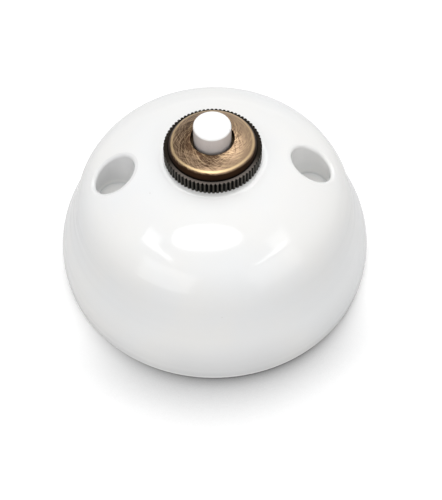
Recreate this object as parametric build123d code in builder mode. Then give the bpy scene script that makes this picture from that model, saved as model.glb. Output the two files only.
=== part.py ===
from build123d import *
import os
from math import atan2, cos, degrees, radians, sin, tan

# A surface-mounted push-button light switch: a glazed porcelain dome that two screws hold to the wall,
# and a push-push switch that hangs inside it from a threaded neck and a knurled dress nut.
# All sizes are in millimetres. +Z is up, the origin is the centre of the rim's footprint, and the two
# fixing pockets lie on the X axis, the two terminals on the Y axis.

# Porcelain dome
body_radius = 40.0           # the widest ring, just above the rim
body_height = 39.2           # from the footprint to the flat seat of the dress nut
wall = 5.0                   # porcelain thickness, also at the crown
rim_inset = 0.25             # how far the footprint lies inside the widest ring
rim_round = 0.7
bulge_overshoot = 0.58       # the corners of the outer curve, before they are rounded
bulge_corner = 6.9
waist_inset = 3.7
waist_height = 16.0
shoulder_inset = 7.15
shoulder_drop = 11.05
crown_inset = 17.5
crown_drop = 3.7
seat_run = 0.8
bulge_reach = 6.2            # how far each corner's round runs along its sides
waist_reach = 5.0
shoulder_reach = 6.0
crown_reach = 6.3
seat_reach = 0.7
round_fit = 0.99             # largest share of a side that its two rounds take up
seat_margin = 0.2            # flat seat beyond the dress nut
neck_play = 0.3              # gap between the threaded neck and its hole in the crown

# Fixing pockets and their bosses
pocket_offset = 24.0         # from the axis to a pocket's centre
pocket_radius = 5.0
pocket_depth = 15.6          # of the pocket's floor, under the seat of the dress nut
pocket_wall = 2.9            # porcelain round the pocket
pocket_lip = 0.7             # soft glazed edge of the mouth
fixing_hole_radius = 2.1     # clears a 4 mm screw
boss_wall = 3.5              # porcelain round the screw hole at the wall plane
boss_gap = 1.5               # room between the switch housing and the bosses

# Threaded neck
neck_wall = 1.4              # from the bore to the crest of the thread
neck_flange_ledge = 2.5      # from the thread to the corners of the hexagonal flange
neck_flange_height = 1.4
neck_chamfer = 0.4
neck_top_gap = 0.3           # between the neck's end and the lip of the dress nut
thread_gap = 0.05            # radial gap between a thread's crest and its nut

# Knurled dress nut
knurl_radius = 11.8
knurl_height = 3.3
knurl_count = 72
knurl_depth = 0.5
knurl_half_width = 0.4       # of a groove, at the surface
knurl_edge = 0.15            # chamfer of the knurled band
cap_step = 1.05              # from the knurled band's edge to the foot of the domed cap
cap_lean = 0.75              # how far the cap's shoulder lies inside its foot
cap_crest_height = 1.35      # above the knurled band
cap_crest_round = 0.4
cap_side_bulge = 0.12
cap_rise = 1.8               # from the shoulder to the edge of the button hole
cap_dome_bulge = 0.22
button_hole_gap = 0.7        # round the button
button_hole_round = 0.15
lip_thickness = 1.2

# Button and plunger
button_radius = 4.5
button_play = 0.1            # gap between the button and the neck's bore
button_rest = 0.95           # what still stands above the hole's edge when it is pressed
button_length = 13.0
button_round = 0.55
button_skin = 1.8            # over the socket
travel = 3.5
socket_gap = 0.03
stem_wall = 0.8              # of the plunger, round the spring
stop_gap = 0.05              # between the plunger's flange and its upper stop
side_gap = 0.2               # round the plunger's lugs
plunger_flange_gap = 2.0     # between the flange and the cavity
plunger_flange_height = 1.5
lug_reach = 1.2              # how far the lugs stand into their keyways
lug_width = 3.0

# Crown ratchet
tooth_count = 8
tooth_inner = 4.2
tooth_outer = 6.8
tooth_gap = 0.2              # between the tips of the two sets of teeth at rest
tooth_lead = 0.02            # share of a tooth by which the rotor runs ahead
tooth_slices = 3
tooth_root = 0.4             # how deep a tooth is sunk in its flange
rotor_gap = 1.6              # between the rotor and the cavity
rotor_disc = 2.0
hub_gap = 0.3                # between the rotor's hub and the teeth
rotor_spigot_radius = 2.9
rotor_spigot_height = 1.0
stake_offset = 4.3
stake_radius = 0.6
stake_head_radius = 1.0
stake_head_height = 0.35

# Pivot pin and thrust washer
pin_radius = 1.5
pin_root = 4.4               # length of the pin that is pressed into the base
pin_gap = 0.05               # radial running gap in the rotor
press_gap = 0.02             # radial gap drawn at a pressed or screwed joint
collar_play = 0.15           # radial gap of the collar in the plunger's bore
collar_height = 0.8
collar_gap = 0.15
spring_spigot_play = 0.25    # between the spring and the spigot that centres it
spring_spigot_height = 1.6
pin_chamfer = 0.3
thrust_radius = 3.0
thrust_thickness = 0.5
thrust_gap = 0.05

# Contact star and contact strips
star_play = 0.8              # between the star's arms and the cavity
star_hub_radius = 5.6
star_arm_width = 3.2
star_turn = 45.0             # at rest the arms stand between the contact strips
star_thickness = 0.6
star_gap = 0.05              # round the rotor's spigot and stakes
point_inset = 1.5            # from a strip's tip to the contact point over it
point_radius = 0.8
point_height = 0.35
point_edge = 0.2
strip_width = 3.4
strip_thickness = 0.5
strip_tongue = 3.4           # from the strip's upright to its tip
strip_tip_gap = 0.6          # between the tip and the cavity
strip_bend = 0.3             # at the middle of the strip's thickness
strip_gap = 0.06             # between a contact point and its strip
floor_gap = 1.5              # from the base's floor to the strip's top

# Terminals
terminal_cover = 1.1         # housing left in front of a terminal block
terminal_width = 5.0
terminal_depth = 6.0
terminal_height = 6.0
terminal_round = 0.4
terminal_play = 0.15
wire_stop = 1.0              # brass behind the end of the wire hole
wire_entry_gap = 0.4         # radial gap of the wire hole in the housing
wire_radius = 1.5
terminal_screw_radius = 1.5
terminal_screw_length = 2.4
terminal_screw_head = 2.3
terminal_screw_head_height = 1.1

# Switch housing
housing_radius = 14.0
cavity_wall = 4.0
housing_edge = 0.8
base_floor = 1.2             # from the terminal block's top to the base's floor
base_foot = 1.2              # how far a terminal block lies inside the base
base_spigot = 1.0            # part of the base that centres the cover
spigot_gap = 0.1
plate = 3.0                  # top plate of the cover
boss_radius = 3.2
housing_screw_inset = 2.0    # from the housing's side to a screw's axis
housing_screw_radius = 1.0
housing_screw_head = 1.9
housing_screw_head_height = 1.3
housing_screw_grip = 6.0     # length of a screw inside the cover
slot_width = 0.6
slot_depth = 0.6
screw_head_edge = 0.35

# Clamping stack under the crown
fibre_thickness = 1.0
fibre_reach = 3.8            # from the thread to the washer's edge
lock_thickness = 0.6
lock_reach = 3.2
lock_teeth = 12
lock_notch_radius = 0.55
hex_wall = 2.5               # from the thread to the flats
hex_thickness = 2.5
nut_chamfer_angle = 45
exposed_thread = 1.6         # bare thread between the hexagon nut and the housing

# Return spring
spring_radius = 2.05         # to the centre of the wire
spring_wire = 0.25           # radius of the wire
spring_play = 0.2            # round the spring in the plunger
spring_turns = 7
spring_length = 14.6         # over the wire, at rest
spring_seat = 0.05

level_tolerance = 0.01       # for picking edges by their height

# Radii and offsets that follow
seat_radius = knurl_radius + seat_margin
neck_bore = button_radius + button_play
thread_radius = neck_bore + neck_wall
thread_hole = thread_radius + thread_gap
neck_flange_radius = thread_radius + neck_flange_ledge
cap_foot_radius = knurl_radius - cap_step
cap_crest_radius = cap_foot_radius - cap_lean
button_hole_radius = button_radius + button_hole_gap
fibre_radius = thread_radius + fibre_reach
lock_radius = thread_radius + lock_reach
hex_width = 2 * (thread_radius + hex_wall)
cavity_radius = housing_radius - cavity_wall
plunger_flange_radius = cavity_radius - plunger_flange_gap
lug_radius = cavity_radius + lug_reach
keyway_radius = lug_radius + side_gap
rotor_radius = cavity_radius - rotor_gap
rotor_hub = tooth_inner - hub_gap
tooth_angle = 360 / tooth_count
spring_bore = spring_radius + spring_wire + spring_play
stem_radius = spring_bore + stem_wall
collar_radius = spring_bore - collar_play
spring_spigot_radius = spring_radius - spring_wire - spring_spigot_play
star_radius = cavity_radius - star_play
strip_tip = cavity_radius - strip_tip_gap
strip_leg = strip_tip - strip_tongue
point_offset = strip_tip - point_inset
terminal_offset = housing_radius - terminal_cover - terminal_depth / 2
housing_screw_offset = housing_radius - housing_screw_inset

# Heights that follow
pocket_floor = body_height - pocket_depth
ceiling = body_height - wall
fibre_bottom = ceiling - fibre_thickness
lock_bottom = fibre_bottom - lock_thickness
hex_bottom = lock_bottom - hex_thickness
cover_top = hex_bottom - exposed_thread
plate_bottom = cover_top - plate
knurl_top = body_height + knurl_height
crest_height = knurl_top + cap_crest_height
hole_edge = crest_height + cap_rise
lip_bottom = hole_edge - lip_thickness
neck_top = lip_bottom - neck_top_gap
button_top = hole_edge + travel + button_rest
button_bottom = button_top - button_length
socket_top = button_top - button_skin
flange_top = plate_bottom - stop_gap
tooth_height = travel
plunger_root = flange_top - plunger_flange_height
rotor_top = plunger_root - tooth_height - tooth_gap
rotor_root = rotor_top - tooth_height
rotor_bottom = rotor_root - rotor_disc
rotor_foot = rotor_bottom - rotor_spigot_height
star_bottom = rotor_bottom - star_thickness
strip_top = star_bottom - point_height - strip_gap
thrust_bottom = rotor_foot - thrust_gap - thrust_thickness
base_top = strip_top - floor_gap
base_seat = base_top - base_spigot
terminal_top = base_top - base_floor
terminal_bottom = terminal_top - terminal_height
base_bottom = terminal_bottom - base_foot
collar_bottom = rotor_top + collar_gap
collar_top = collar_bottom + collar_height
spring_bottom = collar_top + spring_seat
spring_top = spring_bottom + spring_length
spring_ceiling = spring_top + spring_seat


def section(*corners):
    """A closed half-section on the XZ plane, from radius and height pairs."""
    with BuildSketch(Plane.XZ) as profile:
        with BuildLine():
            Polyline(*corners, close=True)
        make_face()
    return profile.sketch


def inset_corners(corners, distance):
    """The corners of an open outline, moved to its left so that each side shifts by the distance."""
    corners = [Vector(*corner) for corner in corners]
    sides = [(after - before).normalized() for before, after in zip(corners, corners[1:])]
    normals = [Vector(-side.Y, side.X) for side in sides]
    moved = []
    for corner, before, after in zip(corners, normals[:1] + normals, normals + normals[-1:]):
        moved.append(corner + (before + after) * (distance / (1 + before.dot(after))))
    return moved


def corner_rounds(corners, reaches):
    """The radius of each corner's round, negative where the outline turns right. A round runs as far along
    its sides as its reach says, or less where a side is too short for the two rounds on it."""
    corners = [Vector(*corner) for corner in corners]
    sides = [after - before for before, after in zip(corners, corners[1:])]
    wanted = [0, *reaches, 0]
    room = [side.length * round_fit / (a + b) for side, a, b in zip(sides, wanted, wanted[1:])]
    rounds = []
    for reach, before, after, room_before, room_after in zip(reaches, sides, sides[1:], room, room[1:]):
        turn = radians(before.get_signed_angle(after, Vector(0, 0, 1)))
        rounds.append(reach * min(1, room_before, room_after) / tan(turn / 2))
    return rounds


def circles_at(builder, height):
    """The round edges that lie flat at a height."""
    circles = builder.edges().filter_by(GeomType.CIRCLE)
    return circles.filter_by_position(Axis.Z, height - level_tolerance, height + level_tolerance)


def ring(inner, outer, bottom, height):
    """A flat ring with square edges."""
    with BuildPart() as piece:
        with BuildSketch(Plane.XY.offset(bottom)):
            Circle(outer)
            Circle(inner, mode=Mode.SUBTRACT)
        extrude(amount=height)
    return piece.part


def crown_tooth(angle, flat, low, high):
    """One saw tooth of a crown ratchet. Its flat side lies at one height, and its ramp climbs from low
    to high over one tooth's angle, starting at the given angle."""
    with BuildPart() as tooth:
        for step in range(tooth_slices + 1):
            share = step / tooth_slices
            ramp = low + (high - low) * share
            turn = radians(angle + tooth_angle * share)
            outward = (cos(turn), sin(turn), 0)
            across = (sin(turn), -cos(turn), 0)
            with BuildSketch(Plane(origin=(0, 0, 0), x_dir=outward, z_dir=across)):
                with BuildLine():
                    Polyline(
                        (tooth_inner, flat),
                        (tooth_outer, flat),
                        (tooth_outer, ramp),
                        (tooth_inner, ramp),
                        close=True,
                    )
                make_face()
        loft(ruled=True)
    return tooth.part


def pan_head_screw(x, y, tip, seat, radius, head_radius, head_height):
    """A slotted screw that points up: its shank runs from the seat to the tip, its head hangs below."""
    with BuildPart() as screw:
        with BuildSketch(Plane.XY.offset(seat)):
            with Locations((x, y)):
                Circle(radius)
        extrude(amount=tip - seat)
        with BuildSketch(Plane.XY.offset(seat)):
            with Locations((x, y)):
                Circle(head_radius)
        extrude(amount=-head_height)
        chamfer(screw.edges().group_by(Axis.Z)[0], screw_head_edge)
        with BuildSketch(Plane.XY.offset(seat - head_height)):
            with Locations((x, y)):
                Rectangle(2 * head_radius, slot_width)
        extrude(amount=slot_depth, mode=Mode.SUBTRACT)
    return screw.part


# The dome's outer curve: bulge, shallow waist, shoulder, crown and seat, each rounded into the next.
outer_corners = [
    (body_radius - rim_inset, 0),
    (body_radius + bulge_overshoot, bulge_corner),
    (body_radius - waist_inset, waist_height),
    (body_radius - shoulder_inset, body_height - shoulder_drop),
    (body_radius - crown_inset, body_height - crown_drop),
    (seat_radius + seat_run, body_height),
    (0, body_height),
]
reaches = [bulge_reach, waist_reach, shoulder_reach, crown_reach, seat_reach]
rounds = corner_rounds(outer_corners, reaches)
inner_corners = inset_corners(outer_corners, wall)
boss_foot_radius = fixing_hole_radius + boss_wall
boss_taper = degrees(atan2(pocket_radius + pocket_wall - boss_foot_radius, pocket_floor))
boss_reach = body_radius - pocket_offset

with BuildPart() as outline:
    with BuildSketch(Plane.YZ):
        with BuildLine():
            FilletPolyline((0, 0), *outer_corners, radius=[rim_round] + [abs(each) for each in rounds])
            Line((0, body_height), (0, 0))
        make_face()
    revolve(axis=Axis.Z)

# The hollow follows the outer curve at the wall's thickness. The bosses are taken out of it: they are long
# enough to run into the wall beside them, and stay clear of the switch housing.
with BuildPart() as hollow:
    with BuildSketch(Plane.YZ):
        with BuildLine():
            FilletPolyline(*inner_corners, radius=[abs(each - wall) for each in rounds])
            foot = inner_corners[0]
            Polyline(foot, (foot.X, 0), (0, 0), (0, ceiling))
        make_face()
    revolve(axis=Axis.Z)
    with BuildSketch():
        for side in (-1, 1):
            with Locations((side * (pocket_offset + boss_reach / 2), 0)):
                SlotCenterToCenter(boss_reach, 2 * boss_foot_radius)
    extrude(amount=body_height, taper=-boss_taper, mode=Mode.SUBTRACT)
    with BuildSketch():
        Circle(housing_radius + boss_gap)
    extrude(amount=cover_top + boss_gap)

with BuildPart() as porcelain_dome:
    add(outline.part)
    add(hollow.part, mode=Mode.SUBTRACT)
    with BuildSketch(Plane.XY.offset(pocket_floor)):
        with GridLocations(2 * pocket_offset, 1, 2, 1):
            Circle(pocket_radius)
    extrude(amount=body_height - pocket_floor, mode=Mode.SUBTRACT)
    fillet(porcelain_dome.edges(Select.LAST).filter_by(GeomType.BSPLINE), pocket_lip)
    with BuildSketch():
        with GridLocations(2 * pocket_offset, 1, 2, 1):
            Circle(fixing_hole_radius)
    extrude(amount=pocket_floor, mode=Mode.SUBTRACT)
    with BuildSketch(Plane.XY.offset(ceiling)):
        Circle(thread_radius + neck_play)
    extrude(amount=wall, mode=Mode.SUBTRACT)
    crown_hole = porcelain_dome.edges(Select.LAST).filter_by(GeomType.CIRCLE)
    chamfer(crown_hole, neck_play)

# The dress nut is one turned piece: a knurled band, a rounded shoulder and a domed face with the button's
# hole. The knurl's cutter stands out as far as it cuts in, so it is twice as wide there as at the surface.
cutter_half_width = 2 * knurl_half_width
with BuildPart() as dress_nut:
    with BuildSketch(Plane.XZ):
        with BuildLine():
            Polyline(
                (cap_foot_radius, knurl_top),
                (knurl_radius - knurl_edge, knurl_top),
                (knurl_radius, knurl_top - knurl_edge),
                (knurl_radius, body_height + knurl_edge),
                (knurl_radius - knurl_edge, body_height),
                (thread_hole, body_height),
                (thread_hole, lip_bottom),
                (button_hole_radius, lip_bottom),
                (button_hole_radius, hole_edge),
            )
            SagittaArc((cap_foot_radius, knurl_top), (cap_crest_radius, crest_height), -cap_side_bulge)
            SagittaArc((cap_crest_radius, crest_height), (button_hole_radius, hole_edge), -cap_dome_bulge)
        make_face()
    revolve(axis=Axis.Z)
    fillet(circles_at(dress_nut, crest_height), cap_crest_round)
    fillet(circles_at(dress_nut, hole_edge), button_hole_round)
    with BuildSketch(Plane.XY.offset(body_height)):
        with PolarLocations(knurl_radius, knurl_count):
            Polygon(
                (knurl_depth, -cutter_half_width),
                (knurl_depth, cutter_half_width),
                (-knurl_depth, 0),
                align=None,
            )
    extrude(amount=knurl_height, mode=Mode.SUBTRACT)

with BuildPart() as threaded_neck:
    with BuildSketch(Plane.XY.offset(plate_bottom)):
        Circle(thread_radius)
    extrude(amount=neck_top - plate_bottom)
    chamfer(threaded_neck.edges().group_by(Axis.Z)[-1], neck_chamfer)
    with BuildSketch(Plane.XY.offset(plate_bottom)):
        RegularPolygon(neck_flange_radius, 6)
    extrude(amount=neck_flange_height)
    with BuildSketch(Plane.XY.offset(plate_bottom)):
        Circle(neck_bore)
    extrude(amount=neck_top - plate_bottom, mode=Mode.SUBTRACT)

fibre_washer = ring(thread_radius + neck_play, fibre_radius, fibre_bottom, fibre_thickness)

with BuildPart() as lock_washer:
    with BuildSketch(Plane.XY.offset(lock_bottom)):
        Circle(lock_radius)
        Circle(thread_radius + neck_play, mode=Mode.SUBTRACT)
        with PolarLocations(lock_radius, lock_teeth):
            Circle(lock_notch_radius, mode=Mode.SUBTRACT)
    extrude(amount=lock_thickness)

with BuildPart() as hex_nut:
    with BuildSketch(Plane.XY.offset(hex_bottom)):
        RegularPolygon(hex_width / 2, 6, major_radius=False)
    extrude(amount=hex_thickness)
    with BuildSketch(Plane.XY.offset(hex_bottom)):
        Circle(hex_width / 2)
    extrude(amount=hex_thickness, taper=-nut_chamfer_angle, mode=Mode.INTERSECT)
    with BuildSketch(Plane.XY.offset(hex_bottom)):
        Circle(thread_hole)
    extrude(amount=hex_thickness, mode=Mode.SUBTRACT)

with BuildPart() as push_button:
    with BuildSketch(Plane.XY.offset(button_bottom)):
        Circle(button_radius)
    extrude(amount=button_length)
    fillet(push_button.edges().group_by(Axis.Z)[-1], button_round)
    with BuildSketch(Plane.XY.offset(button_bottom)):
        Circle(stem_radius + socket_gap)
    extrude(amount=button_length - button_skin, mode=Mode.SUBTRACT)

with BuildPart() as plunger:
    with BuildSketch(Plane.XY.offset(plunger_root)):
        Circle(plunger_flange_radius)
        Rectangle(lug_width, 2 * lug_radius)
    extrude(amount=plunger_flange_height)
    with BuildSketch(Plane.XY.offset(plunger_root)):
        Circle(stem_radius)
    extrude(amount=socket_top - stop_gap - plunger_root)
    with BuildSketch(Plane.XY.offset(plunger_root)):
        Circle(spring_bore)
    extrude(amount=spring_ceiling - plunger_root, mode=Mode.SUBTRACT)
    for tooth in range(tooth_count):
        start = tooth * tooth_angle
        add(crown_tooth(start, plunger_root + tooth_root, plunger_root - tooth_height, plunger_root))

with BuildPart() as ratchet_rotor:
    with BuildSketch(Plane.XY.offset(rotor_bottom)):
        Circle(rotor_radius)
    extrude(amount=rotor_disc)
    with BuildSketch(Plane.XY.offset(rotor_root)):
        Circle(rotor_hub)
    extrude(amount=tooth_height)
    with BuildSketch(Plane.XY.offset(rotor_foot)):
        Circle(rotor_spigot_radius)
    extrude(amount=rotor_spigot_height)
    for tooth in range(tooth_count):
        start = (tooth - tooth_lead) * tooth_angle
        add(crown_tooth(start, rotor_root - tooth_root, rotor_root, rotor_top))
    with BuildSketch(Plane.XY.offset(star_bottom)):
        with PolarLocations(stake_offset, 4):
            Circle(stake_radius)
    extrude(amount=star_thickness)
    with BuildSketch(Plane.XY.offset(star_bottom)):
        with PolarLocations(stake_offset, 4):
            Circle(stake_head_radius)
    extrude(amount=-stake_head_height)
    with BuildSketch(Plane.XY.offset(rotor_foot)):
        Circle(pin_radius + pin_gap)
    extrude(amount=rotor_top - rotor_foot, mode=Mode.SUBTRACT)

with BuildPart() as contact_star:
    with BuildSketch(Plane.XY.offset(star_bottom)):
        Rectangle(2 * star_radius, star_arm_width, rotation=star_turn)
        Rectangle(star_arm_width, 2 * star_radius, rotation=star_turn)
        Circle(star_hub_radius)
        Circle(star_radius, mode=Mode.INTERSECT)
        Circle(rotor_spigot_radius + star_gap, mode=Mode.SUBTRACT)
        with PolarLocations(stake_offset, 4):
            Circle(stake_radius + star_gap, mode=Mode.SUBTRACT)
    extrude(amount=star_thickness)
    with BuildSketch(Plane.XY.offset(star_bottom)):
        with PolarLocations(point_offset, 4, start_angle=star_turn):
            Circle(point_radius)
    extrude(amount=-point_height)
    chamfer(contact_star.edges().group_by(Axis.Z)[0], point_edge)


# A sprung brass strip, bent to a U: its foot lies on a terminal block and its tongue under the star.
with BuildPart() as contact_strip_front:
    with BuildSketch(Plane.YZ):
        with BuildLine():
            FilletPolyline(
                (-strip_tip, terminal_top + strip_thickness / 2),
                (-strip_leg - strip_thickness / 2, terminal_top + strip_thickness / 2),
                (-strip_leg - strip_thickness / 2, strip_top - strip_thickness / 2),
                (-strip_tip, strip_top - strip_thickness / 2),
                radius=strip_bend,
            )
        trace(line_width=strip_thickness)
    extrude(amount=strip_width / 2, both=True)

with BuildPart() as contact_strip_back:
    mirror(contact_strip_front.part, about=Plane.XZ)

# A brass block with a blind wire hole in its outer end and a clamping screw's hole in its underside.
wire_height = terminal_bottom + terminal_height / 2
with BuildPart() as terminal_front:
    with BuildSketch(Plane.XY.offset(terminal_bottom)):
        with Locations((0, -terminal_offset)):
            RectangleRounded(terminal_width, terminal_depth, terminal_round)
    extrude(amount=terminal_height)
    with BuildSketch(Plane.XZ.offset(terminal_offset + terminal_depth / 2)):
        with Locations((0, wire_height)):
            Circle(wire_radius)
    extrude(amount=wire_stop - terminal_depth, mode=Mode.SUBTRACT)
    with BuildSketch(Plane.XY.offset(terminal_bottom)):
        with Locations((0, -terminal_offset)):
            Circle(terminal_screw_radius + press_gap)
    extrude(amount=terminal_height / 2, mode=Mode.SUBTRACT)

with BuildPart() as terminal_back:
    mirror(terminal_front.part, about=Plane.XZ)

with BuildPart() as terminal_screws:
    for side in (-1, 1):
        add(
            pan_head_screw(
                0,
                side * terminal_offset,
                terminal_bottom + terminal_screw_length,
                terminal_bottom,
                terminal_screw_radius,
                terminal_screw_head,
                terminal_screw_head_height,
            )
        )

with BuildPart() as housing_base:
    with BuildSketch(Plane.XY.offset(base_bottom)):
        Circle(housing_radius)
    extrude(amount=base_seat - base_bottom)
    fillet(housing_base.edges().group_by(Axis.Z)[0], housing_edge)
    with BuildSketch(Plane.XY.offset(base_seat)):
        Circle(cavity_radius - spigot_gap)
    extrude(amount=base_spigot)
    with BuildSketch(Plane.XY.offset(base_top)):
        Circle(boss_radius)
    extrude(amount=thrust_bottom - base_top)
    with BuildSketch(Plane.XY.offset(thrust_bottom)):
        Circle(pin_radius + press_gap)
    extrude(amount=-pin_root, mode=Mode.SUBTRACT)
    slot_start = strip_leg - terminal_play
    slot_end = terminal_offset - terminal_depth / 2
    for side in (-1, 1):
        with BuildSketch(Plane.XY.offset(base_bottom)):
            with Locations((0, side * terminal_offset)):
                Rectangle(terminal_width + 2 * terminal_play, terminal_depth + 2 * terminal_play)
        extrude(amount=terminal_top + strip_thickness - base_bottom, mode=Mode.SUBTRACT)
        with BuildSketch(Plane.XY.offset(terminal_top)):
            with Locations((0, side * (slot_start + slot_end) / 2)):
                Rectangle(strip_width + 2 * terminal_play, slot_end - slot_start)
        extrude(amount=base_top - terminal_top, mode=Mode.SUBTRACT)
        with BuildSketch(Plane.XZ.offset(-side * terminal_offset)):
            with Locations((0, wire_height)):
                Circle(wire_radius + wire_entry_gap)
        extrude(amount=-side * (housing_radius - terminal_offset), mode=Mode.SUBTRACT)
    with BuildSketch(Plane.XY.offset(base_bottom)):
        with GridLocations(2 * housing_screw_offset, 1, 2, 1):
            Circle(housing_screw_radius + spigot_gap)
    extrude(amount=base_seat - base_bottom, mode=Mode.SUBTRACT)

with BuildPart() as housing_cover:
    with BuildSketch(Plane.XY.offset(base_seat)):
        Circle(housing_radius)
    extrude(amount=cover_top - base_seat)
    fillet(housing_cover.edges().group_by(Axis.Z)[-1], housing_edge)
    with BuildSketch(Plane.XY.offset(base_seat)):
        Circle(cavity_radius)
        Rectangle(lug_width + 2 * side_gap, 2 * keyway_radius)
    extrude(amount=plate_bottom - base_seat, mode=Mode.SUBTRACT)
    with BuildSketch(Plane.XY.offset(plate_bottom)):
        RegularPolygon(neck_flange_radius + spigot_gap, 6)
    extrude(amount=neck_flange_height, mode=Mode.SUBTRACT)
    with BuildSketch(Plane.XY.offset(plate_bottom)):
        Circle(thread_hole)
    extrude(amount=plate, mode=Mode.SUBTRACT)
    with BuildSketch(Plane.XY.offset(base_seat)):
        with GridLocations(2 * housing_screw_offset, 1, 2, 1):
            Circle(housing_screw_radius + press_gap)
    extrude(amount=housing_screw_grip + spigot_gap, mode=Mode.SUBTRACT)

with BuildPart() as housing_screws:
    for side in (-1, 1):
        add(
            pan_head_screw(
                side * housing_screw_offset,
                0,
                base_seat + housing_screw_grip,
                base_bottom,
                housing_screw_radius,
                housing_screw_head,
                housing_screw_head_height,
            )
        )

with BuildPart() as pivot_pin:
    pin_profile = section(
        (0, thrust_bottom - pin_root),
        (pin_radius, thrust_bottom - pin_root),
        (pin_radius, collar_bottom),
        (collar_radius, collar_bottom),
        (collar_radius, collar_top),
        (spring_spigot_radius, collar_top),
        (spring_spigot_radius, collar_top + spring_spigot_height),
        (0, collar_top + spring_spigot_height),
    )
    revolve(pin_profile, axis=Axis.Z)
    chamfer(pivot_pin.edges().group_by(Axis.Z)[-1], pin_chamfer)

thrust_washer = ring(pin_radius + pin_gap, thrust_radius, thrust_bottom, thrust_thickness)

with BuildPart() as return_spring:
    with BuildLine():
        coil_height = spring_length - 2 * spring_wire
        coil = Helix(
            pitch=coil_height / spring_turns,
            height=coil_height,
            radius=spring_radius,
            center=(0, 0, spring_bottom + spring_wire),
        )
    with BuildSketch(Plane(origin=coil @ 0, z_dir=coil % 0)):
        Circle(spring_wire)
    sweep()

pieces = {
    "porcelain_dome": porcelain_dome.part,
    "dress_nut": dress_nut.part,
    "threaded_neck": threaded_neck.part,
    "fibre_washer": fibre_washer,
    "lock_washer": lock_washer.part,
    "hex_nut": hex_nut.part,
    "push_button": push_button.part,
    "plunger": plunger.part,
    "ratchet_rotor": ratchet_rotor.part,
    "contact_star": contact_star.part,
    "contact_strip_front": contact_strip_front.part,
    "contact_strip_back": contact_strip_back.part,
    "terminal_front": terminal_front.part,
    "terminal_back": terminal_back.part,
    "terminal_screws": terminal_screws.part,
    "housing_base": housing_base.part,
    "housing_cover": housing_cover.part,
    "housing_screws": housing_screws.part,
    "pivot_pin": pivot_pin.part,
    "thrust_washer": thrust_washer,
    "return_spring": return_spring.part,
}
os.makedirs("parts", exist_ok=True)
for label, piece in pieces.items():
    piece.label = label
    export_step(piece, f"parts/{label}.step")
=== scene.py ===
import math

import bmesh
import bpy
from mathutils import Matrix, Quaternion, Vector


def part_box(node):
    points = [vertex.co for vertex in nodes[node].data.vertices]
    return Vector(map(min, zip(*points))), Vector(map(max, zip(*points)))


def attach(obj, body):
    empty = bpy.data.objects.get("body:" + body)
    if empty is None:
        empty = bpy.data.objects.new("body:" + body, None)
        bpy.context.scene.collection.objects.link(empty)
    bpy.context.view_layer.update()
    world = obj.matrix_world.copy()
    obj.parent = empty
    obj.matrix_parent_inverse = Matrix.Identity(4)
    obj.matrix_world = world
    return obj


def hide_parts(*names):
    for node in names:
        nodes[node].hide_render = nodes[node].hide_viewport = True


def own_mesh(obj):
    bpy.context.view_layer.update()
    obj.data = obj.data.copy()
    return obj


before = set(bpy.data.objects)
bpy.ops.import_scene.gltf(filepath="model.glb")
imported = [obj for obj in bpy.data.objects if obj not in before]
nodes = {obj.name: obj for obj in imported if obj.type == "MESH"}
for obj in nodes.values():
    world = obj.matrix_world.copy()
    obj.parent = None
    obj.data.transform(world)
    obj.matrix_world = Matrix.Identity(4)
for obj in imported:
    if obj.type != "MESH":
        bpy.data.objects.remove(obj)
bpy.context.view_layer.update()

scene = bpy.context.scene
print("frame loaded:", len(nodes), "nodes")


# node helpers; all lengths are metres
# in the dictionaries a noise is its scale, detail, roughness and distortion, a bump its depth and strength,
# and a range where it starts and ends, sometimes with the values at both

def newMaterial(name):
    mat = bpy.data.materials.new(name)
    mat.use_nodes = True
    tree = mat.node_tree
    tree.nodes.clear()
    out = tree.nodes.new("ShaderNodeOutputMaterial")
    shader = tree.nodes.new("ShaderNodeBsdfPrincipled")
    tree.links.new(shader.outputs["BSDF"], out.inputs["Surface"])
    return mat, tree, shader


def plug(tree, node, key, value):
    if isinstance(value, bpy.types.NodeSocket):
        tree.links.new(value, node.inputs[key])
    else:
        node.inputs[key].default_value = value


def put(tree, kind, inputs=None, **settings):
    node = tree.nodes.new("ShaderNode" + kind)
    for key, value in settings.items():
        setattr(node, key, value)
    for key, value in (inputs or {}).items():
        plug(tree, node, key, value)
    return node


def maths(tree, operation, a, b=0.0, clamp=False):
    return put(tree, "Math", {0: a, 1: b}, operation=operation, use_clamp=clamp).outputs[0]


def add(tree, a, b):
    return maths(tree, "ADD", a, b)


def minus(tree, a, b):
    return maths(tree, "SUBTRACT", a, b)


def times(tree, a, b):
    return maths(tree, "MULTIPLY", a, b)


def larger(tree, a, b):
    return maths(tree, "MAXIMUM", a, b)


def unsigned(tree, a):
    return maths(tree, "ABSOLUTE", a)


def place(tree):
    return put(tree, "TexCoord").outputs["Object"]


def facing(tree):
    return put(tree, "NewGeometry").outputs["True Normal"]


def parts(tree, where):
    return put(tree, "SeparateXYZ", {0: where}).outputs[:]


def vector(tree, x, y, z):
    return put(tree, "CombineXYZ", {0: x, 1: y, 2: z}).outputs[0]


def lengthOf(tree, where):
    return put(tree, "VectorMath", {0: where}, operation="LENGTH").outputs["Value"]


def stretched(tree, values, scales):
    return vector(tree, *[times(tree, value, scale) for value, scale in zip(values, scales)])


# distance from the axis, angle round it and height; the angle is 0 in front, and its seam is behind
def axisPlace(tree, where):
    x, y, z = parts(tree, where)
    return lengthOf(tree, vector(tree, x, y, 0.0)), maths(tree, "ARCTAN2", x, times(tree, y, -1.0)), z


def noise(tree, where, scale, detail=3.0, roughness=0.5, distortion=0.0):
    return put(tree, "TexNoise", {"Vector": where, "Scale": scale, "Detail": detail,
                                  "Roughness": roughness, "Distortion": distortion}).outputs["Fac"]


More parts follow.
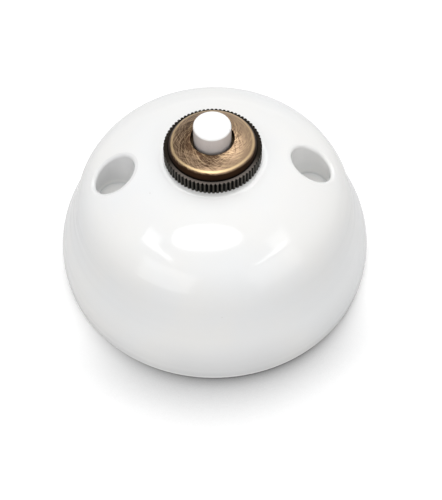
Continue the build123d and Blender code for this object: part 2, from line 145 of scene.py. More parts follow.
def band(tree, value, low, high, toLow=0.0, toHigh=1.0, smooth=True):
    return put(tree, "MapRange", {"Value": value, "From Min": low, "From Max": high,
                                  "To Min": toLow, "To Max": toHigh},
               interpolation_type="SMOOTHSTEP" if smooth else "LINEAR").outputs["Result"]


def fall(tree, value, low, high):
    return band(tree, value, low, high, 1.0, 0.0)


# a range given from a level, as so much under or over it
def bandFrom(tree, value, level, low, high):
    return band(tree, value, level + low, level + high)


def fallFrom(tree, value, level, low, high):
    return fall(tree, value, level + low, level + high)


def blendColour(tree, share, first, second):
    return put(tree, "Mix", {0: share, 6: first, 7: second}, data_type="RGBA").outputs[2]


def blendValue(tree, share, first, second):
    return put(tree, "Mix", {0: share, 2: first, 3: second}, data_type="FLOAT").outputs[0]


def bump(tree, height, distance, strength, normal=None):
    inputs = {"Height": height, "Distance": distance, "Strength": strength}
    if normal is not None:
        inputs["Normal"] = normal
    return put(tree, "Bump", inputs).outputs["Normal"]


def rgba(red, green, blue):
    return (red, green, blue, 1.0)


# round spots, one in a few cells: how rare they are and how soft their edge is
def spots(tree, where, scale, rare, edge):
    cells = put(tree, "TexVoronoi", {"Vector": where, "Scale": scale, "Randomness": 1.0}).outputs
    chosen = put(tree, "SeparateColor", {0: cells["Color"]}).outputs[0]
    return times(tree, band(tree, chosen, *rare), fall(tree, cells["Distance"], *edge))


scratchLook = {"noise": (1.0, 2.0, 0.6), "depthShare": 0.2, "soft": 0.08}


# fine straight scratches: noise drawn out along one direction, and cut off so that only its ridges stay
def scratches(tree, where, turn, fine, along, cut):
    turned = put(tree, "Mapping", {"Vector": where, "Rotation": (0.0, 0.0, math.radians(turn)),
                                   "Scale": (fine, along, fine * scratchLook["depthShare"])}).outputs[0]
    return bandFrom(tree, noise(tree, turned, *scratchLook["noise"]), cut, 0.0, scratchLook["soft"])


# curved brush marks: they run round the axis and drift outward by so many metres a radian
def arcs(tree, radius, angle, drift, fine, along, level):
    outward = add(tree, radius, times(tree, angle, drift))
    where = vector(tree, times(tree, outward, fine), times(tree, angle, along), level)
    return noise(tree, where, *scratchLook["noise"])


def dress(names, mat):
    for name in names:
        for slot in nodes[name].material_slots:
            slot.material = mat


def direction(azimuth, elevation):
    turn, rise = math.radians(azimuth), math.radians(elevation)
    return Vector((math.sin(turn) * math.cos(rise), -math.cos(turn) * math.cos(rise), math.sin(rise)))


# camera: it aims a little aside of and below the origin

view = {"azimuth": -2.2, "elevation": 55.6, "distance": 0.3182, "lens": 96.87, "sensor": 36.0, "clip": (0.01, 20.0),
        "aside": 0.00160, "below": 0.00091, "roll": -0.91}


def makeCamera():
    back = direction(view["azimuth"], view["elevation"])
    right = (-back).cross(Vector((0, 0, 1))).normalized()
    up = right.cross(-back)
    data = bpy.data.cameras.new("camera")
    data.sensor_fit = "HORIZONTAL"
    data.sensor_width = view["sensor"]
    data.lens = view["lens"]
    data.clip_start, data.clip_end = view["clip"]
    camera = bpy.data.objects.new("camera", data)
    scene.collection.objects.link(camera)
    camera.location = back * view["distance"]
    aim = right * view["aside"] - up * view["below"] - camera.location
    camera.rotation_mode = "QUATERNION"
    roll = Quaternion((0, 0, 1), math.radians(view["roll"]))
    camera.rotation_quaternion = aim.to_track_quat("-Z", "Y") @ roll
    scene.camera = camera


makeCamera()
print("camera placed")


# floor and light: the floor is white to the camera and greyer in reflections, or the glaze loses its outline;
# far off, away from the lamps, it glows instead; "open" is how much of the sky is open over it where its shade is
# full, and where it has none

floorLook = {
    "size": 3.0, "drop": 0.00002, "roughness": 0.9, "grain": (900.0, 2.0), "grainBump": (0.00002, 0.2),
    "colour": rgba(0.69, 0.69, 0.69), "shown": rgba(1.0, 1.0, 1.0), "mirrored": rgba(0.66, 0.66, 0.665),
    "glow": 0.08, "farGlow": 0.75, "far": (0.30, 0.80),
    "shade": rgba(0.09, 0.09, 0.095), "reach": 0.08, "samples": 16, "open": (0.42, 0.93),
    "front": (-0.042, -0.014), "skew": 0.08,
}
worldLook = {"light": 0.345, "shown": 0.82}

# each lamp: where it stands as seen from the object, how far off, its two sides, its turn and its brightness
lamps = {
    "key_back": {"azimuth": 170, "elevation": 62, "distance": 0.85, "sides": (0.75, 0.55), "turn": 0, "bright": 3.0},
    "overhead": {"azimuth": -16, "elevation": 69.5, "distance": 0.85, "sides": (0.66, 0.25), "turn": 12,
                 "bright": 2.72, "shape": "ELLIPSE"},
    "left_strip": {"azimuth": -61, "elevation": 49, "distance": 0.85, "sides": (0.32, 0.045), "turn": 6,
                   "bright": 3.6},
    "left_soft": {"azimuth": -72, "elevation": 49, "distance": 0.85, "sides": (0.16, 0.12), "turn": 20,
                  "bright": 2.4},
    "right_strip": {"azimuth": 50, "elevation": 45.5, "distance": 0.85, "sides": (0.36, 0.036), "turn": -4,
                    "bright": 3.2},
    "right_soft": {"azimuth": 65, "elevation": 47, "distance": 0.85, "sides": (0.20, 0.14), "turn": -20,
                   "bright": 1.6},
    "front_left": {"azimuth": -40, "elevation": 24, "distance": 0.9, "sides": (0.62, 0.55), "turn": 0,
                   "bright": 1.25},
    "front_right": {"azimuth": 44, "elevation": 24, "distance": 0.9, "sides": (0.62, 0.55), "turn": 0,
                    "bright": 0.9},
}


# rays that see the background: straight from the camera, in a reflection, or through something clear
def seenRays(tree):
    rays = put(tree, "LightPath").outputs
    return rays["Is Camera Ray"], larger(tree, rays["Is Glossy Ray"], rays["Is Transmission Ray"])


def makeFloor():
    bpy.ops.mesh.primitive_plane_add(size=floorLook["size"], location=(0, 0, -floorLook["drop"]))
    floor = bpy.context.object
    floor.name = "floor"
    mat, tree, shader = newMaterial("paper_floor")
    direct, indirect = seenRays(tree)
    seen = larger(tree, direct, indirect)
    where = place(tree)
    x, y, z = parts(tree, where)

    # a deeper shade close to the part, in front of it only, and only for the rays that see the floor
    clear = put(tree, "AmbientOcclusion", {"Distance": floorLook["reach"]}, samples=floorLook["samples"]).outputs["AO"]
    front = fall(tree, minus(tree, y, times(tree, x, floorLook["skew"])), *floorLook["front"])
    near = times(tree, front, band(tree, clear, *floorLook["open"], 1.0, 0.0, False))
    colour = blendColour(tree, direct, floorLook["colour"], floorLook["shown"])
    colour = blendColour(tree, indirect, colour, floorLook["mirrored"])
    plug(tree, shader, "Base Color", blendColour(tree, times(tree, near, seen), colour, floorLook["shade"]))
    plug(tree, shader, "Roughness", floorLook["roughness"])
    plug(tree, shader, "Specular IOR Level", 0.0)
    plug(tree, shader, "Normal", bump(tree, noise(tree, where, *floorLook["grain"]), *floorLook["grainBump"]))
    plug(tree, shader, "Emission Color", rgba(1, 1, 1))
    away = band(tree, lengthOf(tree, where), *floorLook["far"])
    glow = blendValue(tree, away, floorLook["glow"], floorLook["farGlow"])
    plug(tree, shader, "Emission Strength", times(tree, seen, glow))
    floor.data.materials.append(mat)


def makeWorld():
    world = bpy.data.worlds.new("studio")
    world.use_nodes = True
    tree = world.node_tree
    tree.nodes.clear()
    out = tree.nodes.new("ShaderNodeOutputWorld")
    sky = put(tree, "Background", {"Color": rgba(1, 1, 1)})
    seen = larger(tree, *seenRays(tree))
    plug(tree, sky, "Strength", blendValue(tree, seen, worldLook["light"], worldLook["shown"]))
    tree.links.new(sky.outputs[0], out.inputs["Surface"])
    scene.world = world


def makeLamps():
    for name, lamp in lamps.items():
        out = direction(lamp["azimuth"], lamp["elevation"])
        data = bpy.data.lights.new(name, "AREA")
        data.shape = lamp.get("shape", "RECTANGLE")
        data.size, data.size_y = lamp["sides"]
        data.energy = lamp["bright"] * math.pi * lamp["sides"][0] * lamp["sides"][1]
        light = bpy.data.objects.new(name, data)
        scene.collection.objects.link(light)
        across = Vector((0, 0, 1)).cross(out).normalized()
        aimed = Matrix((across, out.cross(across), out)).transposed()           # a lamp shines along its own -Z
        light.matrix_world = (Matrix.Translation(out * lamp["distance"]) @ aimed.to_4x4()
                              @ Matrix.Rotation(math.radians(lamp["turn"]), 4, "Z"))
        light.visible_camera = False


makeFloor()
makeWorld()
makeLamps()
print("floor, world and", len(lamps), "lamps made")


# porcelain: a white glaze with a few pits; painted shade in the crease round the pockets' floors, on the pockets'
# walls and on the lower middle of the body, and a painted highlight on the lip of the foot;
# and bare biscuit under the foot and inside; the ranges of the crease shade and the wall shade start from the pockets'
# floor

glaze = {
    "warm": rgba(0.905, 0.900, 0.885), "cool": rgba(0.885, 0.892, 0.895), "cloud": (45.0, 3.0),
    "cloudRange": (0.35, 0.65),
    "pocketAt": 0.024, "pocketWide": (0.0058, 0.0060), "pocketFloor": 0.0236, "underFloor": (-0.0003, -0.0001),
    # painted shade in the pockets' crease, on their walls and low on the body, and a painted highlight on the lip of
    # the foot
    "creaseShade": rgba(0.80, 0.81, 0.81), "creaseShadeRise": (0.0, 0.0012), "creaseShadeRing": (0.0038, 0.0052),
    "wall": rgba(0.80, 0.80, 0.80), "wallRise": (0.0008, 0.0020), "wallAcross": (-0.030, 0.030, 0.95, 0.2),
    "low": rgba(0.81, 0.812, 0.812), "lowShadeRise": (0.0070, 0.0150, 0.9, 0.0), "middle": (0.008, 0.022),
    "lip": rgba(0.985, 0.985, 0.98), "lipRise": (0.0011, 0.0015),
    "speck": rgba(0.45, 0.40, 0.34), "speckScale": 260.0, "speckRare": (0.955, 0.96), "speckEdge": (0.02, 0.045),
    "speckShare": 0.6, "speckBump": (0.00002, -0.6),
    "biscuit": rgba(0.80, 0.765, 0.70), "biscuitDark": rgba(0.70, 0.655, 0.58), "biscuitRange": (0.35, 0.62),
    "biscuitRough": 0.78, "inward": (-0.0004, 0.0002), "footRise": (0.00030, 0.00045), "footEdge": (700.0, 2.0),
    "footWander": 0.0003, "grit": (1800.0, 3.0, 0.6), "gritShare": 0.4, "cloudShare": 0.6,
    "gritBump": (0.00004, 0.5),
    "roughness": 0.06, "roughNoise": (200.0, 2.0), "roughSpread": 0.03, "ior": 1.5,
    "ringStretch": (9.0, 9.0, 300.0), "ring": (1.0, 1.0, 0.4), "ringBump": (0.00032, 0.5),
    "wave": (70.0, 2.0, 0.4), "waveBump": (0.00005, 0.6),
}


def glazeMaterial():
    mat, tree, shader = newMaterial("glazed_porcelain")
    where = place(tree)
    x, y, z = parts(tree, where)
    aside = minus(tree, unsigned(tree, x), glaze["pocketAt"])
    fromPocket = lengthOf(tree, vector(tree, aside, y, 0.0))
    inPocket = times(tree, fall(tree, fromPocket, *glaze["pocketWide"]),
                     bandFrom(tree, z, glaze["pocketFloor"], *glaze["underFloor"]))
    outward = put(tree, "VectorMath", {0: facing(tree), 1: where}, operation="DOT_PRODUCT").outputs["Value"]
    hidden = times(tree, fall(tree, outward, *glaze["inward"]), minus(tree, 1.0, inPocket))
    edge = add(tree, z, times(tree, noise(tree, where, *glaze["footEdge"]), glaze["footWander"]))
    bare = larger(tree, fall(tree, edge, *glaze["footRise"]), hidden)

    cloud = noise(tree, where, *glaze["cloud"])
    colour = blendColour(tree, band(tree, cloud, *glaze["cloudRange"]), glaze["warm"], glaze["cool"])
    # painted shade in the crease where each pocket's floor meets its wall
    creaseShade = times(tree, inPocket, fallFrom(tree, z, glaze["pocketFloor"], *glaze["creaseShadeRise"]))
    creaseShade = times(tree, creaseShade, band(tree, fromPocket, *glaze["creaseShadeRing"]))
    colour = blendColour(tree, creaseShade, colour, glaze["creaseShade"])
    # painted shade on the pockets' walls, stronger at the left
    wall = times(tree, inPocket, bandFrom(tree, z, glaze["pocketFloor"], *glaze["wallRise"]))
    colour = blendColour(tree, times(tree, wall, band(tree, x, *glaze["wallAcross"])), colour, glaze["wall"])
    # painted shade on the lower middle of the body
    low = times(tree, fall(tree, unsigned(tree, x), *glaze["middle"]), band(tree, z, *glaze["lowShadeRise"]))
    colour = blendColour(tree, low, colour, glaze["low"])
    # painted highlight: the lip of the foot is lighter, as if catching the floor's light
    colour = blendColour(tree, fall(tree, z, *glaze["lipRise"]), colour, glaze["lip"])
    speck = spots(tree, where, glaze["speckScale"], glaze["speckRare"], glaze["speckEdge"])
    colour = blendColour(tree, times(tree, speck, glaze["speckShare"]), colour, glaze["speck"])
    grit = noise(tree, where, *glaze["grit"])
    mixed = add(tree, times(tree, grit, glaze["gritShare"]), times(tree, cloud, glaze["cloudShare"]))
    biscuit = blendColour(tree, band(tree, mixed, *glaze["biscuitRange"]), glaze["biscuitDark"], glaze["biscuit"])
    plug(tree, shader, "Base Color", blendColour(tree, bare, colour, biscuit))

    uneven = times(tree, noise(tree, where, *glaze["roughNoise"]), glaze["roughSpread"])
    rough = add(tree, uneven, glaze["roughness"])
    plug(tree, shader, "Roughness", blendValue(tree, bare, rough, glaze["biscuitRough"]))
    plug(tree, shader, "IOR", glaze["ior"])
    turned = noise(tree, stretched(tree, (x, y, z), glaze["ringStretch"]), *glaze["ring"])
    relief = bump(tree, turned, *glaze["ringBump"])
    relief = bump(tree, noise(tree, where, *glaze["wave"]), *glaze["waveBump"], relief)
    relief = bump(tree, speck, *glaze["speckBump"], relief)
    plug(tree, shader, "Normal", bump(tree, times(tree, grit, bare), *glaze["gritBump"], relief))
    return mat


dress(["porcelain_dome"], glazeMaterial())
print("porcelain glazed")


# dress nut: brass with a brown antique finish, brushed back on the face and left dark in the knurl; painted light and
# highlights on the face, and painted shade in the groove and the bore

antique = {
    "capFoot": 0.01075, "crest": 0.01000, "hole": 0.0052, "knurl": 0.0118, "knurlTop": 0.0425,
    "toFront": (-0.0095, -0.0030), "toRight": (-0.004, 0.009), "patches": (330.0, 4.0, 0.6),
    "arcs": ((0.0034, 4300.0, 2.6, 21.0), (-0.0028, 4600.0, 2.4, 32.5), (0.0007, 4800.0, 1.6, 9.0),
             (-0.0060, 4000.0, 3.4, 47.0)),
    "arcShares": (0.36, 0.34, 0.30), "darkArcs": (0.56, 0.40), "lightArcs": ((0.56, 0.70), (0.57, 0.70)),
    "tan": rgba(0.355, 0.245, 0.158), "brown": rgba(0.055, 0.031, 0.018), "brownRange": (0.24, 1.05),
    "brownStart": 0.17, "brownNearHole": 0.42, "holeReach": 0.0034, "brownPatches": 0.50, "brownArcs": 0.62,
    # painted light at the right of the face and a painted highlight on the crest
    "lightAtRight": 0.52,
    "gold": rgba(0.62, 0.455, 0.26), "goldShare": 0.34, "highlightAtRight": 0.26,
    "crestHighlight": rgba(0.80, 0.60, 0.34), "crestHighlightShare": 0.45, "crestHighlightInFront": 0.30, "crestInset": 0.0004,
    "crestStart": (-0.0007, -0.0004), "crestEnd": (-0.0002, 0.0001),
    # the side is patina and painted shade; the groove colour is painted shade
    "side": rgba(0.022, 0.011, 0.006), "uneven": 0.0002, "sideTop": 0.00110, "sideRise": (0.0, 0.00042),
    "sideStart": (-0.0001, 0.0006), "groove": rgba(0.005, 0.004, 0.003), "grooveRise": (0.00020, 0.00050),
    "landBackShade": rgba(0.010, 0.008, 0.006), "landFrontLight": rgba(0.085, 0.073, 0.065), "landRise": (-0.00008, -0.00003),
    "knurlDark": rgba(0.016, 0.015, 0.013), "knurlTip": rgba(0.085, 0.078, 0.068), "bandStart": (0.00003, 0.00010),
    "tipStart": (-0.00020, -0.00002), "tipPatches": 0.3, "tipRange": (0.25, 1.25),
    "fleck": rgba(0.22, 0.175, 0.125), "fleckNoise": (2600.0, 2.0, 0.6), "fleckRange": (0.60, 0.72),
    "fleckWear": (0.4, 1.0), "fleckShare": 0.6, "boreEdge": (0.00001, 0.00005),
    "roughness": 0.25, "roughPatches": 0.12, "roughDull": 0.16, "roughCrest": 0.08,
    "arcBump": (0.000008, 0.4), "patchBump": (0.00001, 0.4),
}


def antiqueMaterial():
    mat, tree, shader = newMaterial("antique_brass")
    where = place(tree)
    radius, angle, height = axisPlace(tree, where)
    x, y, z = parts(tree, where)
    toFront = fall(tree, y, *antique["toFront"])
    toRight = band(tree, x, *antique["toRight"])
    patches = noise(tree, where, *antique["patches"])
    brushed = [arcs(tree, radius, angle, *settings) for settings in antique["arcs"]]
    shares = antique["arcShares"]
    crossed = add(tree, times(tree, brushed[0], shares[0]), times(tree, brushed[1], shares[1]))
    crossed = add(tree, crossed, times(tree, brushed[3], shares[2]))
    dark = band(tree, crossed, *antique["darkArcs"], smooth=False)
    light = larger(tree, band(tree, brushed[1], *antique["lightArcs"][0]),
                   band(tree, brushed[2], *antique["lightArcs"][1]))

    # the face: browner round the hole, and painted lighter and golder at the right, where light falls, with a painted
    # highlight line on its crest
    nearHole = fallFrom(tree, radius, antique["hole"], 0.0, antique["holeReach"])
    stained = add(tree, times(tree, patches, antique["brownPatches"]), times(tree, dark, antique["brownArcs"]))
    brownness = add(tree, add(tree, times(tree, nearHole, antique["brownNearHole"]), stained), antique["brownStart"])
    # painted light: the face is less brown and more golden at the right
    brownness = minus(tree, brownness, times(tree, toRight, antique["lightAtRight"]))
    face = blendColour(tree, band(tree, brownness, *antique["brownRange"]), antique["tan"], antique["brown"])
    goldness = add(tree, antique["goldShare"], times(tree, toRight, antique["highlightAtRight"]))
    face = blendColour(tree, times(tree, light, goldness), face, antique["gold"])
    # painted highlight: a gold line on the crest, stronger and set further in at the front
    fromAxis = add(tree, radius, times(tree, toFront, antique["crestInset"]))
    crestBand = times(tree, bandFrom(tree, fromAxis, antique["crest"], *antique["crestStart"]),
                      fallFrom(tree, fromAxis, antique["crest"], *antique["crestEnd"]))
    crestHighlightShare = add(tree, antique["crestHighlightShare"], times(tree, toFront, antique["crestHighlightInFront"]))
    face = blendColour(tree, times(tree, crestBand, crestHighlightShare), face, antique["crestHighlight"])

    # the dark side under the crest: the patina left on the side, and painted shade over the outer part of the crest's
    # round, further in at the front, that moves the highlight inward; the black line at its foot is painted shade in
    # the groove
    uneven = times(tree, patches, antique["uneven"])
    sideTop = antique["knurlTop"] + antique["sideTop"]
    below = fallFrom(tree, add(tree, height, uneven), sideTop, *antique["sideRise"])
    beyond = bandFrom(tree, add(tree, fromAxis, uneven), antique["crest"], *antique["sideStart"])
    onSide = larger(tree, below, beyond)
    colour = blendColour(tree, onSide, face, antique["side"])
    # painted shade: the black line in the groove at the foot of the side
    grooveShadeMask = fallFrom(tree, height, antique["knurlTop"], *antique["grooveRise"])
    colour = blendColour(tree, grooveShadeMask, colour, antique["groove"])

    # the knurled band, worn lighter at its tips, and the flat land on top of it, painted lighter at the front as light
    # and darker at the back as shade
    onBand = bandFrom(tree, radius, antique["capFoot"], *antique["bandStart"])
    wear = add(tree, bandFrom(tree, radius, antique["knurl"], *antique["tipStart"]),
               times(tree, patches, antique["tipPatches"]))
    knurl = blendColour(tree, band(tree, wear, *antique["tipRange"]), antique["knurlDark"], antique["knurlTip"])
    flecks = times(tree, band(tree, noise(tree, where, *antique["fleckNoise"]), *antique["fleckRange"]),
                   band(tree, wear, *antique["fleckWear"]))
    knurl = blendColour(tree, times(tree, flecks, antique["fleckShare"]), knurl, antique["fleck"])
    # painted light at the front of the land and painted shade at its back
    land = blendColour(tree, toFront, antique["landBackShade"], antique["landFrontLight"])
    onLand = bandFrom(tree, height, antique["knurlTop"], *antique["landRise"])
    colour = blendColour(tree, onBand, colour, blendColour(tree, onLand, knurl, land))
    # painted shade: the edge of the bore is painted black, as the dark gap round the button
    boreShade = fallFrom(tree, radius, antique["hole"], *antique["boreEdge"])
    plug(tree, shader, "Base Color", blendColour(tree, boreShade, colour, antique["groove"]))
    plug(tree, shader, "Metallic", 1.0)

    dull = larger(tree, onBand, onSide)
    rough = add(tree, times(tree, patches, antique["roughPatches"]), times(tree, dull, antique["roughDull"]))
    rough = add(tree, add(tree, antique["roughness"], rough), times(tree, crestBand, antique["roughCrest"]))
    plug(tree, shader, "Roughness", rough)
    relief = times(tree, minus(tree, light, dark), minus(tree, 1.0, dull))
    relief = bump(tree, relief, *antique["arcBump"])
    plug(tree, shader, "Normal", bump(tree, patches, *antique["patchBump"], relief))
    return mat


dress(["dress_nut"], antiqueMaterial())
print("dress nut finished")


# button: white moulded plastic, its side painted darker and warmer than its top as shade and as light thrown from the
# nut, and rubbed where it slides

buttonLook = {
    "top": rgba(0.93, 0.925, 0.915), "side": rgba(0.66, 0.60, 0.57), "edge": (0.0495, 0.0499),
    "worn": rgba(0.78, 0.74, 0.70), "drag": (1.0, 3.0), "dragStretch": (14.0, 250.0), "dragRange": (0.55, 0.75),
    "wornShare": 0.30, "roughness": 0.22, "handled": (500.0, 4.0), "roughSpread": 0.16,
    "grain": (2400.0, 3.0), "grainBump": (0.000004, 0.5), "subsurface": 0.15, "radius": (0.0010, 0.0009, 0.0008),
}


def buttonMaterial():
    mat, tree, shader = newMaterial("white_button")
    where = place(tree)
    radius, angle, height = axisPlace(tree, where)
    # painted shade: the side is darker and warmer than the top
    upper = band(tree, height, *buttonLook["edge"])
    colour = blendColour(tree, upper, buttonLook["side"], buttonLook["top"])
    across, up = buttonLook["dragStretch"]
    drag = noise(tree, vector(tree, times(tree, angle, across), times(tree, height, up), 0.0), *buttonLook["drag"])
    worn = times(tree, band(tree, drag, *buttonLook["dragRange"]), minus(tree, 1.0, upper))
    colour = blendColour(tree, times(tree, worn, buttonLook["wornShare"]), colour, buttonLook["worn"])
    plug(tree, shader, "Base Color", colour)
    handled = times(tree, noise(tree, where, *buttonLook["handled"]), buttonLook["roughSpread"])
    plug(tree, shader, "Roughness", add(tree, buttonLook["roughness"], handled))
    plug(tree, shader, "Subsurface Weight", buttonLook["subsurface"])
    plug(tree, shader, "Subsurface Radius", buttonLook["radius"])
    plug(tree, shader, "Subsurface Scale", 1.0)
    plug(tree, shader, "Normal", bump(tree, noise(tree, where, *buttonLook["grain"]), *buttonLook["grainBump"]))
    return mat


dress(["push_button"], buttonMaterial())
print("button coloured")


# threaded neck: turned brass gone dark, with the helix of its fine thread as relief on the outside, and its mouth
# painted near black as shade in the gap round the button

neck = {
    "bright": rgba(0.20, 0.135, 0.070), "dark": rgba(0.026, 0.017, 0.010), "pitch": 0.0010,
    "outside": (0.0057, 0.0058), "mouth": (0.0425, 0.0437), "stains": (480.0, 4.0, 0.6), "stainRange": (0.35, 0.65),
    "turning": (1.0, 3.0, 0.6), "turningStretch": (5200.0, 1.2, 5200.0), "turningBump": (0.000008, 0.5),
    "ridgeRange": (0.70, 0.95), "polishedShare": 0.7, "turningShare": 0.45, "threadBump": (0.00028, 1.0),
    "roughness": 0.34, "roughStains": 0.22,
}


def neckMaterial():
    mat, tree, shader = newMaterial("dark_neck")
    where = place(tree)
    radius, angle, height = axisPlace(tree, where)
    stains = noise(tree, where, *neck["stains"])
    turns = add(tree, times(tree, height, 1.0 / neck["pitch"]), times(tree, angle, 0.5 / math.pi))
    outside = band(tree, radius, *neck["outside"])
    ridge = times(tree, maths(tree, "PINGPONG", turns, 0.5), 2.0)
    turning = noise(tree, stretched(tree, (radius, angle, height), neck["turningStretch"]), *neck["turning"])
    polished = times(tree, outside, band(tree, ridge, *neck["ridgeRange"]))
    polished = times(tree, polished, band(tree, stains, *neck["stainRange"]))
    # painted shade: the mouth of the neck is darkened, as it sits in the dark gap round the button
    mouthShade = band(tree, height, *neck["mouth"])
    shown = add(tree, times(tree, polished, neck["polishedShare"]), times(tree, turning, neck["turningShare"]))
    shown = maths(tree, "SUBTRACT", shown, mouthShade, clamp=True)
    plug(tree, shader, "Base Color", blendColour(tree, shown, neck["dark"], neck["bright"]))
    plug(tree, shader, "Metallic", 1.0)
    plug(tree, shader, "Roughness", add(tree, neck["roughness"], times(tree, stains, neck["roughStains"])))
    relief = bump(tree, times(tree, ridge, outside), *neck["threadBump"])
    plug(tree, shader, "Normal", bump(tree, turning, *neck["turningBump"], relief))
    return mat


dress(["threaded_neck"], neckMaterial())
print("neck threaded and darkened")


# worked metals: marks of the lathe about an axis, or of the rolls and the mill along a line, under soft stains,
# whose scale each piece gives

metalLook = {
    "mark": (1.0, 3.0, 0.6), "upShare": 0.8, "markRange": (0.42, 0.66), "markShare": 0.30, "markStrength": 0.7,
    "stain": (4.0, 0.62, 0.4), "stainRange": (0.40, 0.74), "stainBump": (0.00001, 0.3),
    "blotchScale": 0.35, "blotch": (2.0, 0.5), "blotchRange": (0.50, 0.70), "blotchShare": 0.45,
    "worn": ((31.0, 5200.0, 350.0, 0.66), (-52.0, 4700.0, 300.0, 0.67)), "wornShare": 0.45,
    "wornBump": (0.000008, -0.6), "roughStains": 0.20, "roughMarks": 0.10, "smoothWorn": 0.05,
}


# a coordinate counted from a pair of axes, one at each side of the middle, or from the middle itself
def fromPair(tree, value, offset):
    return minus(tree, unsigned(tree, value), offset) if offset else value


def metalMaterial(name, look):
    mat, tree, shader = newMaterial(name)
    where = place(tree)
    if "stretch" in look:
        drawn = put(tree, "Mapping", {"Vector": where, "Scale": look["stretch"]}).outputs[0]
    else:
        x, y, z = parts(tree, where)
        centred = vector(tree, fromPair(tree, x, look["axisX"]), fromPair(tree, y, look["axisY"]), z)
        scales = (look["fine"], look["round"], look["fine"] * metalLook["upShare"])
        drawn = stretched(tree, axisPlace(tree, centred), scales)
    marks = noise(tree, drawn, *metalLook["mark"])
    stains = noise(tree, where, look["stainScale"], *metalLook["stain"])
    blotch = noise(tree, where, look["stainScale"] * metalLook["blotchScale"], *metalLook["blotch"])
    worn = larger(tree, *[scratches(tree, where, *settings) for settings in metalLook["worn"]])
    colour = blendColour(tree, band(tree, stains, *metalLook["stainRange"]), look["bright"], look["dull"])
    tarnished = times(tree, band(tree, blotch, *metalLook["blotchRange"]), metalLook["blotchShare"])
    colour = blendColour(tree, tarnished, colour, look["tarnish"])
    shining = times(tree, band(tree, marks, *metalLook["markRange"]), metalLook["markShare"])
    colour = blendColour(tree, shining, colour, look["shine"])
    colour = blendColour(tree, times(tree, worn, metalLook["wornShare"]), colour, look["shine"])
    plug(tree, shader, "Base Color", colour)
    plug(tree, shader, "Metallic", 1.0)
    uneven = add(tree, times(tree, stains, metalLook["roughStains"]), times(tree, marks, metalLook["roughMarks"]))
    rough = minus(tree, add(tree, look["roughness"], uneven), times(tree, worn, metalLook["smoothWorn"]))
    plug(tree, shader, "Roughness", rough)
    relief = bump(tree, marks, look["depth"], metalLook["markStrength"])
    relief = bump(tree, worn, *metalLook["wornBump"], relief)
    plug(tree, shader, "Normal", bump(tree, stains, *metalLook["stainBump"], relief))
    return mat


brassTones = {"bright": rgba(0.76, 0.57, 0.27), "dull": rgba(0.50, 0.35, 0.16), "tarnish": rgba(0.30, 0.19, 0.10),
              "shine": rgba(0.90, 0.73, 0.41)}
steelTones = {"bright": rgba(0.66, 0.67, 0.67), "dull": rgba(0.47, 0.475, 0.47), "tarnish": rgba(0.44, 0.40, 0.30),
              "shine": rgba(0.84, 0.85, 0.85)}
wireTones = {"bright": rgba(0.50, 0.50, 0.51), "dull": rgba(0.30, 0.30, 0.31), "tarnish": rgba(0.24, 0.20, 0.16),
             "shine": steelTones["shine"]}

hexNut = dict(brassTones, axisX=0.0, axisY=0.0, fine=5200.0, round=1.2, stainScale=420.0, roughness=0.20,
              depth=0.00001)
sheet = dict(brassTones, stretch=(420.0, 5600.0, 420.0), stainScale=560.0, roughness=0.17, depth=0.000006)
strips = dict(brassTones, stretch=(5200.0, 300.0, 1400.0), stainScale=520.0, roughness=0.18, depth=0.000006)
terminals = dict(brassTones, stretch=(260.0, 3800.0, 3800.0), stainScale=380.0, roughness=0.24, depth=0.000014)
washers = dict(steelTones, axisX=0.0, axisY=0.0, fine=4800.0, round=1.4, stainScale=520.0, roughness=0.26,
               depth=0.000008)
coverScrews = dict(steelTones, axisX=0.012, axisY=0.0, fine=5200.0, round=1.6, stainScale=640.0, roughness=0.22,
                   depth=0.00001)
clampScrews = dict(steelTones, axisX=0.0, axisY=0.0099, fine=5200.0, round=1.6, stainScale=640.0, roughness=0.22,
                   depth=0.00001)

dress(["hex_nut"], metalMaterial("turned_brass", hexNut))
dress(["contact_star"], metalMaterial("stamped_brass", sheet))
dress(["contact_strip_front", "contact_strip_back"], metalMaterial("rolled_brass", strips))
dress(["terminal_front", "terminal_back"], metalMaterial("milled_brass", terminals))
dress(["lock_washer", "thrust_washer", "pivot_pin"], metalMaterial("zinc_steel", washers))
dress(["housing_screws"], metalMaterial("zinc_cover_screws", coverScrews))
dress(["terminal_screws"], metalMaterial("zinc_clamp_screws", clampScrews))
print("brass and steel finished")


# return spring: wound wire with a closed turn at each end, wound to the length of its part

wire = dict(wireTones, turns=5, endTurns=1, endPitch=2.02, steps=36, sides=12, radius=0.00205, thick=0.00025,
            travel=0.0035, axisX=0.0, axisY=0.0, fine=9000.0, round=0.8, stainScale=900.0, roughness=0.20,
            depth=0.000005)


